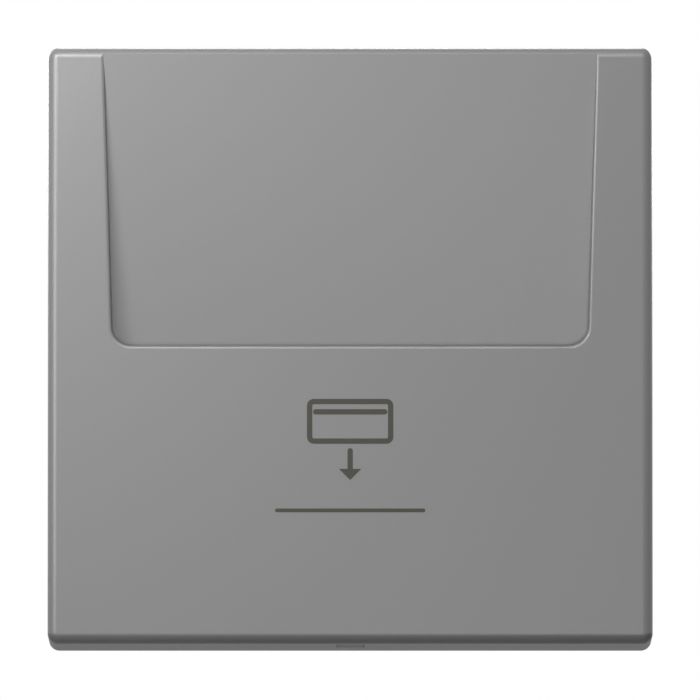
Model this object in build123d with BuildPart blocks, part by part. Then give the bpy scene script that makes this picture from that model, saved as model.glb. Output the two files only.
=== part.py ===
from build123d import *
import os
from math import cos, radians, sin, tan

# A hotel key card switch for a flush wall box. The origin is the middle of the support yoke's back
# face, on the wall. +X is right, +Z is up, and the front faces -Y. All sizes are in millimetres, and
# "out" is the distance in front of the wall, so what lies behind the wall has a negative out.

# Front cover
cover_size = 70.5
side_inset = 0.25
top_depth = 9.0
face_tilt = 3.2
bottom_draft = 6.3
top_edge_drop = 0.25
cover_wall = 1.8
front_wall = 1.7
edge_round = 1.2
corner_round = 1.25
inner_round = 0.6

# Card recess and slot in the cover. The slot passes a card that is 54 mm wide
recess_border = 6.67
recess_taper = 1.03
slot_shoulder = 0.25
lip_height = 0.5
recess_depth = 3.0
recess_corner = 2.25
recess_draft = 1.0
recess_rim = 0.4
recess_side_wall = 1.5
ramp_wall = 1.6
ramp_tail = 1.9
slot_gap = 1.3
slot_reach_up = 1.5

# Pry notch in the cover's bottom wall
notch_width = 3.3
notch_depth = 0.7
notch_length = 5.0
notch_start = 5.5

# Ribs, screw bosses and clip legs inside the cover
rib_thickness = 1.0
rib_insets = (10.5, 2.5)
rib_top = -2.2
boss_radius = 1.8
boss_hole_radius = 0.8
boss_hole_depth = 1.9
boss_gap = 0.3
upper_boss_height = -7.0
clip_corner_room = 11.25
clip_width = 5.0
clip_thickness = 1.4
clip_wall_room = 0.85
clip_root_out = 4.0
clip_root_length = 3.5
clip_reach = 2.2
clip_bead = 0.35
clip_bead_length = 1.0

# Card guide behind the slot
guide_wall = 1.2
guide_setback = 0.1
guide_gap = 0.2
guide_side_wall = 1.6
stop_room = 4.25
stop_thickness = 1.2
lug_height = 4.2
lug_thickness = 1.4
lug_hole_radius = 1.0
lug_seat_gap = 0.05
window_width = 5.0
window_top = -4.2
window_bottom = -15.2
guide_screw_radius = 0.75
guide_screw_length = 3.0
guide_screw_head_radius = 1.6
guide_screw_head = 1.0

# Card lever and its axle
pivot_height = 8.0
pivot_setback = 1.6
lever_angle = 6.0
axle_radius = 1.0
axle_length = 32.4
axle_clearance = 0.05
axle_chamfer = 0.2
barrel_radius = 1.75
barrel_length = 4.6
lever_width = 26.0
lever_thickness = 1.4
lever_gap = 0.2
lever_bottom = -14.4
lever_corner = 1.5
ear_thickness = 2.0
ear_gap = 0.3
ear_half = 1.9
ear_foot = 7.0
ear_foot_depth = 1.1
nose_across = 10.0
nose_width = 4.0
nose_height = -12.0
nose_rise = 2.0
nose_ramp = 6.2
nose_round = 0.6
pad_radius = 1.6
pad_width = 6.0
pad_gap = 0.12

# Lever return spring, a torsion spring on the axle
torsion_wire = 0.2
torsion_radius = 1.6
torsion_turns = 5
torsion_pitch = 0.62
torsion_leg = 4.5
torsion_back_leg = 5.0
torsion_room = 0.7
torsion_down_angle = 19.0
torsion_up_angle = 38.0
full_turn = 360.0

# Support yoke
yoke_inset = 0.75
yoke_corner = 3.0
yoke_thickness = 1.0
slot_inset = 4.5
screw_slot_width = 3.8
screw_slot_length = 7.0
upright_slot_turn = 90.0
clip_window_gap = 0.2

# Insert housing and its cap
base_width = 39.0
base_height = 46.0
base_circle = 27.0
base_depth = 20.4
base_wall = 1.8
base_floor = 1.8
base_round = 1.0
cap_thickness = 1.6
deck_width = 33.2
deck_height = 36.6
deck_rise = 2.0
deck_corner = 2.0
deck_gap = 0.2
deck_round = 0.4
post_across = 10.0
post_height = 20.8
post_radius = 2.0
post_hole_radius = 0.95
post_hole_depth = 7.0
insert_screw_radius = 0.9
insert_screw_head_radius = 1.7
insert_screw_head = 1.1
insert_screw_length = 8.0
screw_hole_gap = 0.2
drive_width = 0.5
drive_depth = 0.4

# Switch plunger and its spring
plunger_height = -8.0
plunger_width = 9.0
plunger_tall = 6.0
plunger_gap = 0.15
plunger_round = 0.5
flange_width = 13.0
flange_thickness = 1.5
flange_gap = 0.1
foot_thickness = 1.2
foot_tall = 1.6
foot_inner = 3.3
foot_gap = 0.1
pocket_radius = 2.6
pocket_depth = 2.2
coil_radius = 2.0
coil_wire = 0.25
coil_turns = 7
coil_gap = 0.1
seat_radius = 3.0
seat_room = 4.0
seat_pin_radius = 1.5
seat_pin_length = 1.6

# Contact arm, its pivot pin and the contacts
arm_pivot_height = 13.0
arm_front_out = -5.1
arm_thickness = 0.5
arm_width = 11.0
arm_tip_width = 5.0
arm_tip = -16.2
arm_shoulder = -11.5
arm_hole_radius = 3.0
arm_barrel_radius = 1.0
arm_barrel_width = 8.0
pin_radius = 0.6
pin_clearance = 0.04
pin_length = 10.6
contact_height = -14.0
contact_radius = 1.6
contact_rise = 0.75
contact_shank_radius = 0.7
contact_air = 0.08

# Brass rails and screwless terminals
rail_thickness = 0.8
rail_wall_gap = 0.1
rail_half = 3.0
rail_back_room = 2.2
rail_bridge = 2.4
strip_low = -16.6
strip_high = -11.4
strip_overlap = 3.2
rail_ear_radius = 1.5
common_plate_out = -6.9
common_half = 5.2
common_low = 11.0
terminal_height = -6.0
port_radius = 1.4
port_inward = 1.6
port_collar = 1.2
port_collar_wall = 0.8
clamp_width = 5.6
clamp_thickness = 0.4
clamp_top_out = -8.6
clamp_back_room = 1.0
clamp_far = 7.3
clamp_tip_share = 0.29
clamp_tip_gap = 0.12
clamp_bend = 1.0
clamp_wall = 1.0
clamp_wall_gap = 0.1
clamp_wall_top = -10.0
button_inward = 5.3
button_depth = 2.6
button_width = 4.4
button_gap = 0.1
button_travel = 1.2
button_left_proud = 0.2
button_flange = 0.9
button_flange_thickness = 1.0
button_flange_gap = 0.1
button_front_share = 0.55
button_round = 0.3

# Claws that grip the wall box, one on each side
claw_pivot_across = 21.1
claw_pivot_out = -4.5
claw_pin_radius = 0.8
claw_pin_head_radius = 1.3
claw_pin_head = 0.6
claw_clearance = 0.05
claw_barrel_radius = 1.4
claw_thickness = 1.2
claw_screw_height = 8.0
claw_arm_offset = 6.5
claw_arm_width = 5.0
claw_arm_length = 11.5
claw_fork_half = 3.2
claw_fork_length = 6.0
claw_fork_slot = 3.6
claw_tooth = 1.6
claw_teeth = 3
claw_lever = 3.6
claw_end_gap = 0.2
claw_lug_thickness = 1.2
claw_lug_half = 1.5
claw_screw_radius = 1.5
claw_screw_head_radius = 2.6
claw_screw_head = 1.7
claw_screw_length = 12.5
claw_screw_gap = 0.2
claw_head_gap = 0.05
claw_nut_half = 2.8
claw_nut_round = 2.5
claw_nut_body = 1.4
claw_nut_gap = 0.1

# One overrun serves all cuts that pass through a face
overrun = 1.0

# Worked out from the sizes above
cover_half = cover_size / 2
recess_half_top = cover_half - recess_border
recess_half_lip = recess_half_top - recess_taper
recess_top = cover_half - lip_height + overrun
yoke_size = cover_size - 2 * yoke_inset
slot_across = yoke_size / 2 - slot_inset
rim_out = yoke_thickness
tilt_slope = tan(radians(face_tilt))
draft_slope = tan(radians(bottom_draft))
recess_slope = tan(radians(recess_draft))
deep_out = top_depth + cover_size * tilt_slope
side_slope = side_inset / (deep_out - rim_out)
top_slope = top_edge_drop / (top_depth - rim_out)
face_at_lip = top_depth + (cover_half - lip_height) * tilt_slope
floor_at_lip = face_at_lip - recess_depth
floor_slope = (top_depth - floor_at_lip) / (cover_half - lip_height)
tail_height = lip_height - ramp_tail
slot_half = recess_half_lip - slot_shoulder
guide_half = slot_half + guide_gap
guide_outer = guide_half + guide_side_wall
boss_across = guide_outer + boss_gap + boss_radius
stop_height = stop_room - cover_half
boss_heights = (upper_boss_height, stop_height + boss_radius)
clip_height = cover_half - clip_corner_room
clip_inner = cover_half - cover_wall - clip_wall_room - clip_thickness
guide_top = tail_height - guide_gap
axle_seat_radius = axle_radius + axle_clearance
lever_foot_floor = floor_at_lip + (lever_bottom - lip_height) * floor_slope
lever_front_out = lever_foot_floor - guide_setback - guide_wall - lever_gap
pivot_out = lever_front_out - pivot_setback
lever_back_out = lever_front_out - lever_thickness
pad_out = lever_front_out - lever_thickness / 2
plunger_top_out = pad_out - pad_radius - pad_gap
flange_back_out = -cap_thickness - flange_gap - flange_thickness
base_back_out = -cap_thickness - base_depth
floor_out = base_back_out + base_floor
seat_out = floor_out + seat_room
rail_back_out = floor_out + rail_back_room
clamp_back_out = rail_back_out + clamp_back_room
clamp_tall = clamp_top_out - clamp_back_out
clamp_tip_out = clamp_back_out + clamp_tip_share * clamp_tall
button_front_out = clamp_back_out + button_front_share * clamp_tall
rail_outer = base_width / 2 - base_wall - rail_wall_gap
rail_inner = rail_outer - rail_thickness
top_rail_outer = base_height / 2 - base_wall - rail_wall_gap
top_rail_inner = top_rail_outer - rail_thickness
arm_back_out = arm_front_out - arm_thickness
arm_mid_out = arm_front_out - arm_thickness / 2
arm_angle = lever_angle * (pivot_height - plunger_height) / (arm_pivot_height - plunger_height)
contact_swing = (arm_pivot_height - contact_height) * sin(radians(arm_angle))
contact_edge = contact_radius * sin(radians(arm_angle))
closed_face_out = arm_front_out + contact_rise + contact_air
open_face_out = arm_back_out - contact_rise - contact_swing - contact_edge - contact_air
claw_screw_across = claw_pivot_across + claw_lever
claw_fork_high = claw_screw_height + claw_fork_half
claw_arm_low = claw_screw_height - claw_arm_offset - claw_arm_width / 2
claw_nut_out = claw_pivot_out - claw_thickness / 2 - claw_nut_round - claw_nut_gap
claw_sides = {"right": 1, "left": -1}


def face_out(height):
    """How far the cover's front face stands out at a height."""
    return top_depth + (cover_half - height) * tilt_slope


def floor_level(height):
    """How far the plane that the card slides on stands out at a height."""
    return floor_at_lip + (height - lip_height) * floor_slope


def facing(out=0, side=1):
    """A plane parallel to the wall, seen from the room: X is right and Y is up."""
    return Plane(origin=(0, -out, 0), x_dir=(side, 0, 0), z_dir=(0, -1, 0))


def side_view(across=0):
    """An upright plane seen from the side: X is out from the wall and Y is up."""
    return Plane(origin=(across, 0, 0), x_dir=(0, -1, 0), z_dir=(-1, 0, 0))


def top_view(height=0, side=1):
    """A level plane: X is right, Y is out from the wall, and it is extruded downward."""
    return Plane(origin=(0, 0, side * height), x_dir=(side, 0, 0), z_dir=(0, 0, -side))


def card_plane(lift=0):
    """The plane that the card slides on, with its origin at the lip."""
    slide = Plane(origin=(0, -floor_at_lip, lip_height), x_dir=(1, 0, 0), z_dir=(0, -1, -floor_slope))
    return slide.offset(lift)


def face_plane(lift=0):
    """The plane of the cover's front face, with its origin at the lip."""
    face = Plane(origin=(0, -face_at_lip, lip_height), x_dir=(1, 0, 0), z_dir=(0, -1, tilt_slope))
    return face.offset(lift)


# Each terminal has a plane of its own: X is inward from its rail, Y is out from the wall
terminals = {
    "common": Plane(origin=(0, 0, top_rail_inner), x_dir=(0, 0, -1), z_dir=(-1, 0, 0)),
    "open": Plane(origin=(-rail_inner, 0, terminal_height), x_dir=(1, 0, 0), z_dir=(0, 0, -1)),
    "closed": Plane(origin=(rail_inner, 0, terminal_height), x_dir=(-1, 0, 0), z_dir=(0, 0, 1)),
}


def wall_spot(plane, inward):
    """The place of a terminal's point, across and up, seen from the room."""
    spot = plane.from_local_coords((inward, 0, 0))
    return (spot.X, spot.Z)


def cover_form(inset, front_inset, tail, corner, edge):
    """The cover's closed outer form, or the same form drawn in by its walls."""
    half = cover_half - inset
    rear = rim_out - tail
    low = -half + (rear - rim_out) * draft_slope
    high = half - (rear - rim_out) * top_slope
    front_high = half - top_edge_drop
    reach = top_depth - front_inset + (cover_half + half) * tilt_slope
    front_low_out = (reach + rim_out * draft_slope * tilt_slope) / (1 + draft_slope * tilt_slope)
    front_low = -half + (front_low_out - rim_out) * draft_slope
    rear_half = half + tail * side_slope
    front_half = half - (deep_out - rim_out) * side_slope
    with BuildPart() as form:
        with BuildSketch(side_view()):
            with BuildLine():
                Polyline(
                    (rear, low),
                    (rear, high),
                    (face_out(front_high) - front_inset, front_high),
                    (front_low_out, front_low),
                    close=True,
                )
            make_face()
        extrude(amount=cover_size, both=True)
        with BuildSketch(top_view(cover_size)):
            with BuildLine():
                Polyline(
                    (-rear_half, rear),
                    (rear_half, rear),
                    (front_half, deep_out),
                    (-front_half, deep_out),
                    close=True,
                )
            make_face()
        extrude(amount=2 * cover_size, mode=Mode.INTERSECT)
        ends = form.faces().sort_by(Axis.Y)
        corners = form.edges() - ends[0].edges() - ends[-1].edges()
        fillet(corners, radius=corner)
        fillet(form.faces().sort_by(Axis.Y)[0].edges(), radius=edge)
    return form.part


def recess_outline(plane, depth):
    """The recess's outline at a depth under the face, with rounded corners at the lip."""
    drawn_in = depth * recess_slope
    spread = (recess_half_top - recess_half_lip) / (cover_half - lip_height)
    with BuildSketch(plane) as outline:
        with BuildLine():
            Polyline(
                (-recess_half_lip + drawn_in, 0),
                (recess_half_lip - drawn_in, 0),
                (recess_half_lip + spread * recess_top - drawn_in, recess_top),
                (-recess_half_lip - spread * recess_top + drawn_in, recess_top),
                close=True,
            )
        make_face()
        fillet(outline.vertices().group_by(Axis.Y)[0], radius=recess_corner)
    return outline.sketch


# The plate that shows: a shell with a card recess, a slot behind its lip, and clip legs. The recess is
# cut by a stem under a slab that lies on the face, and the edge where they meet is rounded
with BuildPart() as recess:
    add(recess_outline(face_plane(), 0))
    add(recess_outline(face_plane(-recess_depth - overrun), recess_depth + overrun))
    loft(ruled=True)
    slab_half = recess_half_top + 2 * recess_rim + overrun
    slab_low = -recess_rim - overrun
    with BuildSketch(face_plane()):
        with Locations((0, (recess_top + slab_low) / 2)):
            Rectangle(2 * slab_half, recess_top - slab_low)
    extrude(amount=overrun)
    fillet(recess.edges().filter_by(Edge.is_interior), radius=recess_rim)
    split(bisect_by=card_plane(), keep=Keep.TOP)

with BuildPart() as ramp_block:
    with BuildSketch(card_plane(-ramp_wall)):
        with BuildLine():
            block_low = recess_half_lip + recess_side_wall
            block_high = recess_half_top + recess_side_wall
            Polyline(
                (-block_low, -ramp_tail),
                (block_low, -ramp_tail),
                (block_high, cover_half - lip_height),
                (-block_high, cover_half - lip_height),
                close=True,
            )
        make_face()
    extrude(amount=ramp_wall + recess_depth + overrun)

with BuildPart() as cavity:
    add(cover_form(cover_wall, front_wall, overrun, inner_round, inner_round))
    add(ramp_block.part, mode=Mode.SUBTRACT)

with BuildPart() as front_cover:
    add(cover_form(0, 0, 0, corner_round, edge_round))
    add(cavity.part, mode=Mode.SUBTRACT)
    add(recess.part, mode=Mode.SUBTRACT)
    with BuildSketch(card_plane()):
        with Locations((0, (slot_reach_up - ramp_tail - overrun) / 2)):
            Rectangle(2 * slot_half, slot_reach_up + ramp_tail + overrun)
    extrude(amount=slot_gap, mode=Mode.SUBTRACT)
    for rib_inset in rib_insets:
        for side in (1, -1):
            with BuildSketch(side_view(side * (guide_half - rib_inset))):
                with BuildLine():
                    rib_bottom = stop_height + guide_gap
                    Polyline(
                        (floor_level(rib_top) + slot_gap, rib_top),
                        (face_out(rib_top) - front_wall / 2, rib_top),
                        (face_out(rib_bottom) - front_wall / 2, rib_bottom),
                        (floor_level(rib_bottom) + slot_gap, rib_bottom),
                        close=True,
                    )
                make_face()
            extrude(amount=rib_thickness / 2, both=True)
    boss_lift = lug_thickness - guide_setback - guide_wall + lug_seat_gap
    boss_spots = [(side * boss_across, height - lip_height) for side in (1, -1) for height in boss_heights]
    with BuildSketch(card_plane(boss_lift)):
        with Locations(*boss_spots):
            Circle(boss_radius)
    extrude(until=Until.NEXT)
    with BuildSketch(card_plane(boss_lift)):
        with Locations(*boss_spots):
            Circle(boss_hole_radius)
    extrude(amount=boss_hole_depth, mode=Mode.SUBTRACT)
    for side in (1, -1):
        for height in (clip_height, -clip_height):
            with BuildSketch(top_view(height + clip_width / 2)):
                clip_outer = side * (clip_inner + clip_thickness)
                clip_bead_edge = side * (clip_inner + clip_thickness + clip_bead)
                clip_wall = side * (cover_half - cover_wall / 2)
                with BuildLine():
                    Polyline(
                        (side * clip_inner, -clip_reach),
                        (clip_outer, -clip_reach),
                        (clip_bead_edge, -clip_reach + clip_bead_length / 2),
                        (clip_outer, -clip_reach + clip_bead_length),
                        (clip_outer, clip_root_out),
                        (clip_wall, clip_root_out),
                        (clip_wall, clip_root_out + clip_root_length),
                        (side * clip_inner, clip_root_out + clip_root_length),
                        close=True,
                    )
                make_face()
            extrude(amount=clip_width)
    with BuildSketch(facing(notch_start)):
        with Locations((0, -cover_half)):
            Rectangle(notch_width, 2 * (notch_start - rim_out) * draft_slope + 2 * notch_depth)
    extrude(amount=notch_length, mode=Mode.SUBTRACT)
front_cover.part.label = "front_cover"


# The tray that the card runs down: a back wall, two sides, a stop, and ears for the lever's axle
with BuildPart() as card_guide:
    guide_lift = -guide_setback - guide_wall
    guide_low = stop_height - stop_thickness - lip_height
    guide_high = guide_top - lip_height
    with BuildSketch(card_plane(guide_lift)):
        with Locations((0, (guide_low + guide_high) / 2)):
            Rectangle(2 * guide_outer, guide_high - guide_low)
    extrude(amount=guide_wall + guide_setback + slot_gap)
    with BuildSketch(card_plane(-guide_setback)):
        with Locations((0, (stop_height - lip_height + guide_high + overrun) / 2)):
            Rectangle(2 * guide_half, guide_high + overrun - stop_height + lip_height)
    extrude(amount=guide_setback + slot_gap + overrun, mode=Mode.SUBTRACT)
    with BuildSketch(card_plane(guide_lift)):
        for side in (1, -1):
            for height in boss_heights:
                lug_inner = guide_half + guide_side_wall / 2
                lug_outer = boss_across + boss_radius
                with Locations((side * (lug_inner + lug_outer) / 2, height - lip_height)):
                    Rectangle(lug_outer - lug_inner, lug_height)
    extrude(amount=lug_thickness)
    with BuildSketch(card_plane(guide_lift - overrun)):
        with Locations(*boss_spots):
            Circle(lug_hole_radius)
        window_middle = (window_top + window_bottom) / 2 - lip_height
        with Locations((nose_across, window_middle), (-nose_across, window_middle)):
            Rectangle(window_width, window_top - window_bottom)
    extrude(amount=lug_thickness + 2 * overrun, mode=Mode.SUBTRACT)
    for side in (1, -1):
        with BuildSketch(side_view(side * (lever_width / 2 + ear_gap + ear_thickness / 2))):
            with BuildLine():
                foot_out = floor_level(guide_top) - guide_setback - guide_wall / 2
                Polyline(
                    (pivot_out - ear_half, pivot_height),
                    (pivot_out + ear_half, pivot_height),
                    (floor_level(tail_height) - ramp_wall - guide_gap, guide_top),
                    (foot_out, guide_top),
                    (foot_out, guide_top - ear_foot),
                    (foot_out - ear_foot_depth, guide_top - ear_foot),
                    close=True,
                )
            make_face()
            with Locations((pivot_out, pivot_height)):
                Circle(ear_half)
                Circle(axle_seat_radius, mode=Mode.SUBTRACT)
        extrude(amount=ear_thickness / 2, both=True)
card_guide.part.label = "card_guide"


def screw(out, spots, radius, length, head_radius, head, plane=None):
    """A group of like screws with slotted round heads, driven backward from their seats."""
    seat = plane or facing(out)
    with BuildPart() as screws:
        with BuildSketch(seat):
            with Locations(*spots):
                Circle(head_radius)
        extrude(amount=head)
        with BuildSketch(seat):
            with Locations(*spots):
                Circle(radius)
        extrude(amount=-length)
        with BuildSketch(seat.offset(head)):
            with Locations(*spots):
                Rectangle(2 * head_radius, drive_width)
        extrude(amount=-drive_depth, mode=Mode.SUBTRACT)
    return screws.part


def rod(across, out, height, radius, length):
    """A round rod across the part, with a small chamfer at each end."""
    with BuildPart() as shaft:
        with BuildSketch(side_view(across)):
            with Locations((out, height)):
                Circle(radius)
        extrude(amount=length / 2, both=True)
        chamfer(shaft.edges().filter_by(GeomType.CIRCLE), length=axle_chamfer)
    return shaft.part


# The guide's four screws are driven from behind into the cover's bosses
back_seat = card_plane(guide_lift)
guide_screw_seat = Plane(origin=back_seat.origin, x_dir=(1, 0, 0), z_dir=-back_seat.z_dir)
with BuildPart() as guide_screws:
    turned_spots = [(across, -height) for across, height in boss_spots]
    add(
        screw(
            0,
            turned_spots,
            guide_screw_radius,
            guide_screw_length,
            guide_screw_head_radius,
            guide_screw_head,
            guide_screw_seat,
        )
    )
guide_screws.part.label = "guide_screws"

with BuildPart() as lever_axle:
    add(rod(0, pivot_out, pivot_height, axle_radius, axle_length))
lever_axle.part.label = "lever_axle"

# The lever that the card pushes back with its edge: two noses, a plate, two barrels and a pad
with BuildPart() as card_lever:
    web_top = pivot_height - torsion_radius - torsion_wire - torsion_room
    with BuildSketch(facing(lever_back_out)):
        with Locations((0, (web_top + lever_bottom) / 2)):
            RectangleRounded(lever_width, web_top - lever_bottom, lever_corner)
        barrel_across = (lever_width - barrel_length) / 2
        arm_foot = web_top - lever_corner
        for side in (1, -1):
            with Locations((side * barrel_across, (pivot_height + arm_foot) / 2)):
                Rectangle(barrel_length, pivot_height - arm_foot)
    extrude(amount=lever_thickness)
    for side in (1, -1):
        with BuildSketch(side_view(side * barrel_across)):
            with Locations((pivot_out, pivot_height)):
                Circle(barrel_radius)
        extrude(amount=barrel_length / 2, both=True)
        nose_out = floor_level(nose_height) - guide_setback + nose_rise
        with BuildSketch(side_view(side * nose_across)) as nose:
            with BuildLine():
                Polyline(
                    (pad_out, nose_height + nose_ramp),
                    (lever_front_out, nose_height + nose_ramp),
                    (nose_out, nose_height),
                    (lever_front_out, lever_bottom),
                    (pad_out, lever_bottom),
                    close=True,
                )
            make_face()
            fillet(nose.vertices().sort_by(Axis.X)[-1], radius=nose_round)
        extrude(amount=nose_width / 2, both=True)
    with BuildSketch(side_view()):
        with Locations((pad_out, plunger_height)):
            Circle(pad_radius)
        with Locations((pad_out + pad_radius, plunger_height)):
            Rectangle(2 * pad_radius, 2 * pad_radius, mode=Mode.SUBTRACT)
    extrude(amount=pad_width / 2, both=True)
    with BuildSketch(side_view()):
        with Locations((pivot_out, pivot_height)):
            Circle(axle_seat_radius)
    extrude(amount=lever_width, both=True, mode=Mode.SUBTRACT)
card_lever.part.label = "card_lever"


def spring_leg(across, angle, length):
    """A straight leg of the lever's spring, which leaves its coil at an angle from the level."""
    turn = radians(angle)
    start = (
        across,
        -pivot_out + torsion_radius * cos(turn),
        pivot_height + torsion_radius * sin(turn),
    )
    heading = 1 if angle > 0 else -1
    with BuildPart() as leg:
        with BuildSketch(Plane(origin=start, z_dir=(0, -heading * sin(turn), heading * cos(turn)))):
            Circle(torsion_wire)
        extrude(amount=length)
    return leg.part


def coil(pitch, height, radius, wire):
    """A round wire wound about an upright axis, as one unbroken tube."""
    with BuildPart() as spring:
        with BuildLine() as path:
            Helix(pitch=pitch, height=height, radius=radius)
        with BuildSketch(path.line ^ 0):
            Circle(wire)
        sweep(path=path.line, is_frenet=True)
    return spring.part


# The lever's spring: one leg bears on the lever's plate, the other on the back of the ramp
with BuildPart() as lever_spring:
    torsion_arc = torsion_turns + (torsion_up_angle + torsion_down_angle) / full_turn
    torsion_span = torsion_arc * torsion_pitch
    down = radians(torsion_down_angle)
    torsion_seat = Plane(
        origin=(-torsion_span / 2, -pivot_out, pivot_height),
        x_dir=(0, cos(down), -sin(down)),
        z_dir=(1, 0, 0),
    )
    with Locations(torsion_seat):
        add(coil(torsion_pitch, torsion_span, torsion_radius, torsion_wire))
    add(spring_leg(-torsion_span / 2, -torsion_down_angle, torsion_leg))
    add(spring_leg(torsion_span / 2, torsion_up_angle, torsion_back_leg))
lever_spring.part.label = "lever_spring"

# The plunger passes the lever's motion through the insert's deck to the contact arm
with BuildPart() as plunger:
    with BuildSketch(facing(flange_back_out)):
        with Locations((0, plunger_height)):
            Rectangle(flange_width, plunger_tall)
    extrude(amount=flange_thickness)
    with BuildSketch(facing(flange_back_out)):
        with Locations((0, plunger_height)):
            RectangleRounded(plunger_width, plunger_tall, plunger_round)
    extrude(amount=plunger_top_out - flange_back_out)
    chamfer(plunger.faces().sort_by(Axis.Y)[0].edges(), length=plunger_round / 2)
    with BuildSketch(facing(flange_back_out)):
        foot_middle = foot_inner + foot_thickness / 2
        with Locations((foot_middle, plunger_height), (-foot_middle, plunger_height)):
            Rectangle(foot_thickness, foot_tall)
    extrude(amount=-(flange_back_out - arm_front_out - foot_gap))
    with BuildSketch(facing(flange_back_out)):
        with Locations((0, plunger_height)):
            Circle(pocket_radius)
    extrude(amount=pocket_depth, mode=Mode.SUBTRACT)
plunger.part.label = "plunger"

with BuildPart() as plunger_spring:
    coil_span = flange_back_out + pocket_depth - seat_out - 2 * (coil_gap + coil_wire)
    coil_start = (0, -seat_out - coil_gap - coil_wire, plunger_height)
    with Locations(Plane(origin=coil_start, x_dir=(1, 0, 0), z_dir=(0, -1, 0))):
        add(coil(coil_span / coil_turns, coil_span, coil_radius, coil_wire))
plunger_spring.part.label = "plunger_spring"

# The steel yoke that is screwed or clawed to the wall box and carries everything
insert_screw_spots = [(x, z) for x in (post_across, -post_across) for z in (post_height, -post_height)]
with BuildPart() as support_yoke:
    with BuildSketch(facing()):
        RectangleRounded(yoke_size, yoke_size, yoke_corner)
        RectangleRounded(
            deck_width + 2 * deck_gap,
            deck_height + 2 * deck_gap,
            deck_corner + deck_gap,
            mode=Mode.SUBTRACT,
        )
        with Locations((slot_across, 0), (-slot_across, 0)):
            SlotOverall(screw_slot_length, screw_slot_width, mode=Mode.SUBTRACT)
        with Locations((0, slot_across), (0, -slot_across)):
            SlotOverall(screw_slot_length, screw_slot_width, rotation=upright_slot_turn, mode=Mode.SUBTRACT)
        with Locations(*insert_screw_spots):
            Circle(insert_screw_radius + screw_hole_gap, mode=Mode.SUBTRACT)
        for side in claw_sides.values():
            with Locations((side * claw_screw_across, side * claw_screw_height)):
                Circle(claw_screw_radius + claw_screw_gap, mode=Mode.SUBTRACT)
            for height in (clip_height, -clip_height):
                window_inner = clip_inner - clip_window_gap
                window_outer = clip_inner + clip_thickness + clip_bead + clip_window_gap
                with Locations((side * (window_inner + window_outer) / 2, height)):
                    Rectangle(
                        window_outer - window_inner,
                        clip_width + 2 * clip_window_gap,
                        mode=Mode.SUBTRACT,
                    )
    extrude(amount=yoke_thickness)
    for side in claw_sides.values():
        for top in (claw_fork_high + claw_end_gap + claw_lug_thickness, claw_arm_low - claw_end_gap):
            with BuildSketch(top_view(top, side)):
                with Locations((claw_pivot_across, claw_pivot_out)):
                    Circle(claw_lug_half)
                with Locations((claw_pivot_across, claw_pivot_out / 2)):
                    Rectangle(2 * claw_lug_half, -claw_pivot_out)
                with Locations((claw_pivot_across, claw_pivot_out)):
                    Circle(claw_pin_radius + claw_clearance, mode=Mode.SUBTRACT)
            extrude(amount=claw_lug_thickness)
support_yoke.part.label = "support_yoke"

with BuildPart() as insert_screws:
    add(
        screw(
            yoke_thickness,
            insert_screw_spots,
            insert_screw_radius,
            insert_screw_length,
            insert_screw_head_radius,
            insert_screw_head,
        )
    )
insert_screws.part.label = "insert_screws"


def housing_outline(drawn_in=0):
    """The insert's outline: a rectangle with its corners cut by the wall box's circle."""
    with BuildSketch() as outline:
        Rectangle(base_width - 2 * drawn_in, base_height - 2 * drawn_in)
        Circle(base_circle - drawn_in, mode=Mode.INTERSECT)
    return outline.sketch


# The moulded cap with its raised deck, which guides the plunger
with BuildPart() as insert_cap:
    with BuildSketch(facing(-cap_thickness)):
        add(housing_outline())
    extrude(amount=cap_thickness)
    with BuildSketch(facing()):
        RectangleRounded(deck_width, deck_height, deck_corner)
    extrude(amount=deck_rise)
    fillet(insert_cap.faces().sort_by(Axis.Y)[0].edges(), radius=deck_round)
    with BuildSketch(facing(-cap_thickness)):
        with Locations((0, plunger_height)):
            Rectangle(plunger_width + 2 * plunger_gap, plunger_tall + 2 * plunger_gap)
        with Locations(*insert_screw_spots):
            Circle(insert_screw_radius + screw_hole_gap)
    extrude(amount=cap_thickness + deck_rise, mode=Mode.SUBTRACT)
    with BuildSketch(facing()):
        with Locations(*insert_screw_spots):
            Circle(insert_screw_head_radius + screw_hole_gap)
    extrude(amount=deck_rise, mode=Mode.SUBTRACT)
insert_cap.part.label = "insert_cap"

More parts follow.
